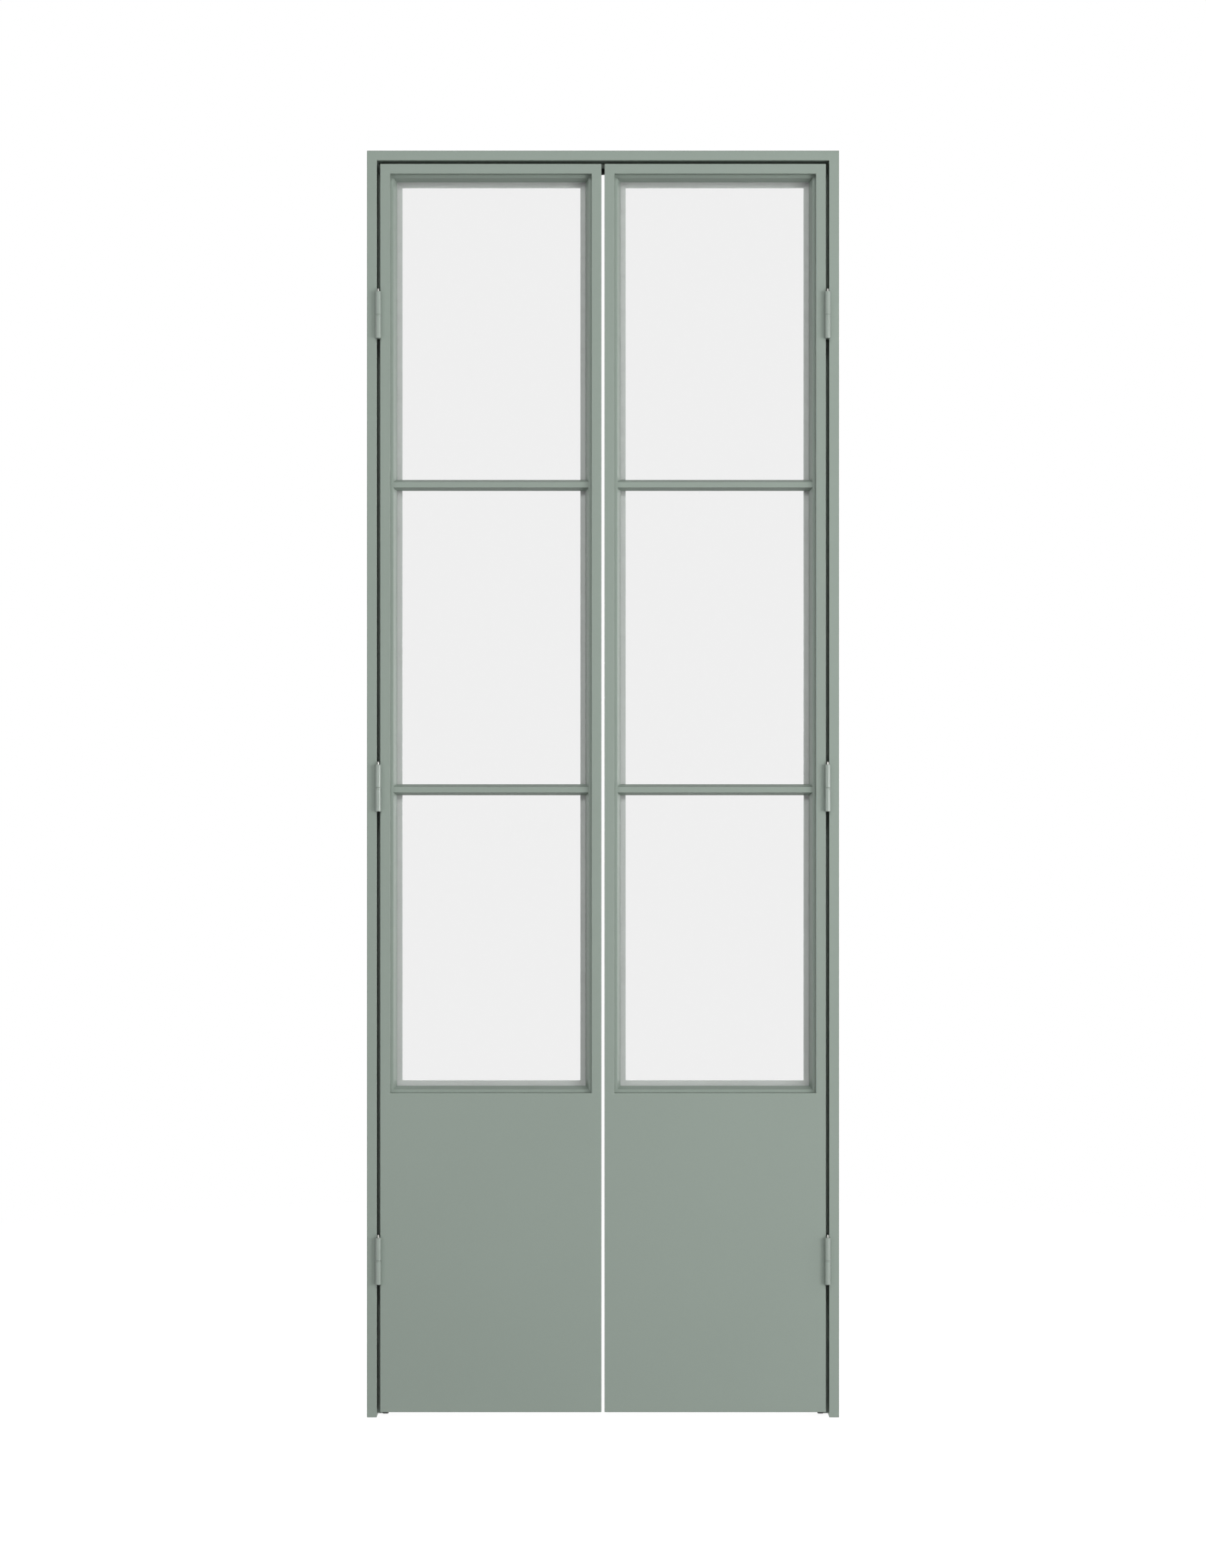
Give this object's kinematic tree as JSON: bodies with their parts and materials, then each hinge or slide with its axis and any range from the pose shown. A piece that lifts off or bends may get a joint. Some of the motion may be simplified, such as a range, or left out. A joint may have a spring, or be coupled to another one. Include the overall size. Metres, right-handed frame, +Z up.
{
  "type": "double pantry door",
  "caption": "Framed steel double door: side-hung leaves with bevel-beaded glass above flush sheet panels, turning on knuckle hinges in a slim frame with stop and seal.",
  "frame": {"origin": "bottom centre of the whole part, on the floor line under the jambs", "axes": "+Z up, +X to the right seen from the front, +Y back into the room; the leaves open towards -Y"},
  "size_m": [0.908, 0.0632, 2.436],
  "materials": {
    "powder_coat": "satin powder coat",
    "glass": "clear",
    "black_rubber": "matt",
    "glazing_tape": "matt",
    "bright_steel": "zinc plated"
  },
  "bodies": {
    "frame": {"left_jamb": "powder_coat", "right_jamb": "powder_coat", "head": "powder_coat", "left_stop": "powder_coat", "right_stop": "powder_coat", "head_stop": "powder_coat", "stop_seal": "black_rubber", "left_bottom_frame_hinge": "powder_coat", "left_middle_frame_hinge": "powder_coat", "left_top_frame_hinge": "powder_coat", "right_bottom_frame_hinge": "powder_coat", "right_middle_frame_hinge": "powder_coat", "right_top_frame_hinge": "powder_coat", "hinge_pins": "bright_steel", "hinge_washers": "powder_coat", "frame_hinge_screws": "powder_coat"},
    "left_leaf": {"left_hinge_stile": "powder_coat", "left_meeting_stile": "powder_coat", "left_top_rail": "powder_coat", "left_middle_rail": "powder_coat", "left_bottom_rail": "powder_coat", "left_front_panel": "powder_coat", "left_back_panel": "powder_coat", "left_panel_stiffeners": "powder_coat", "left_glass": "glass", "left_setting_blocks": "black_rubber", "left_glazing_tape": "glazing_tape", "left_rear_glazing_grid": "powder_coat", "left_top_bead": "powder_coat", "left_bottom_bead": "powder_coat", "left_hinge_side_bead": "powder_coat", "left_meeting_side_bead": "powder_coat", "left_upper_glazing_bar": "powder_coat", "left_lower_glazing_bar": "powder_coat", "left_bottom_leaf_hinge": "powder_coat", "left_middle_leaf_hinge": "powder_coat", "left_top_leaf_hinge": "powder_coat", "left_leaf_hinge_screws": "powder_coat"},
    "right_leaf": {"right_hinge_stile": "powder_coat", "right_meeting_stile": "powder_coat", "right_top_rail": "powder_coat", "right_middle_rail": "powder_coat", "right_bottom_rail": "powder_coat", "right_front_panel": "powder_coat", "right_back_panel": "powder_coat", "right_panel_stiffeners": "powder_coat", "right_glass": "glass", "right_setting_blocks": "black_rubber", "right_glazing_tape": "glazing_tape", "right_rear_glazing_grid": "powder_coat", "right_top_bead": "powder_coat", "right_bottom_bead": "powder_coat", "right_hinge_side_bead": "powder_coat", "right_meeting_side_bead": "powder_coat", "right_upper_glazing_bar": "powder_coat", "right_lower_glazing_bar": "powder_coat", "right_bottom_leaf_hinge": "powder_coat", "right_middle_leaf_hinge": "powder_coat", "right_top_leaf_hinge": "powder_coat", "right_leaf_hinge_screws": "powder_coat"}
  },
  "joints": [
    {"name": "left_leaf_swing", "type": "hinge", "parent": "frame", "child": "left_leaf", "pos_m": [-0.43175, -0.02535, 1.21025], "axis": [0, 0, -1], "range_deg": [0, 180]},
    {"name": "right_leaf_swing", "type": "hinge", "parent": "frame", "child": "right_leaf", "pos_m": [0.43175, -0.02535, 1.21025], "axis": [0, 0, 1], "range_deg": [0, 180]}
  ]
}
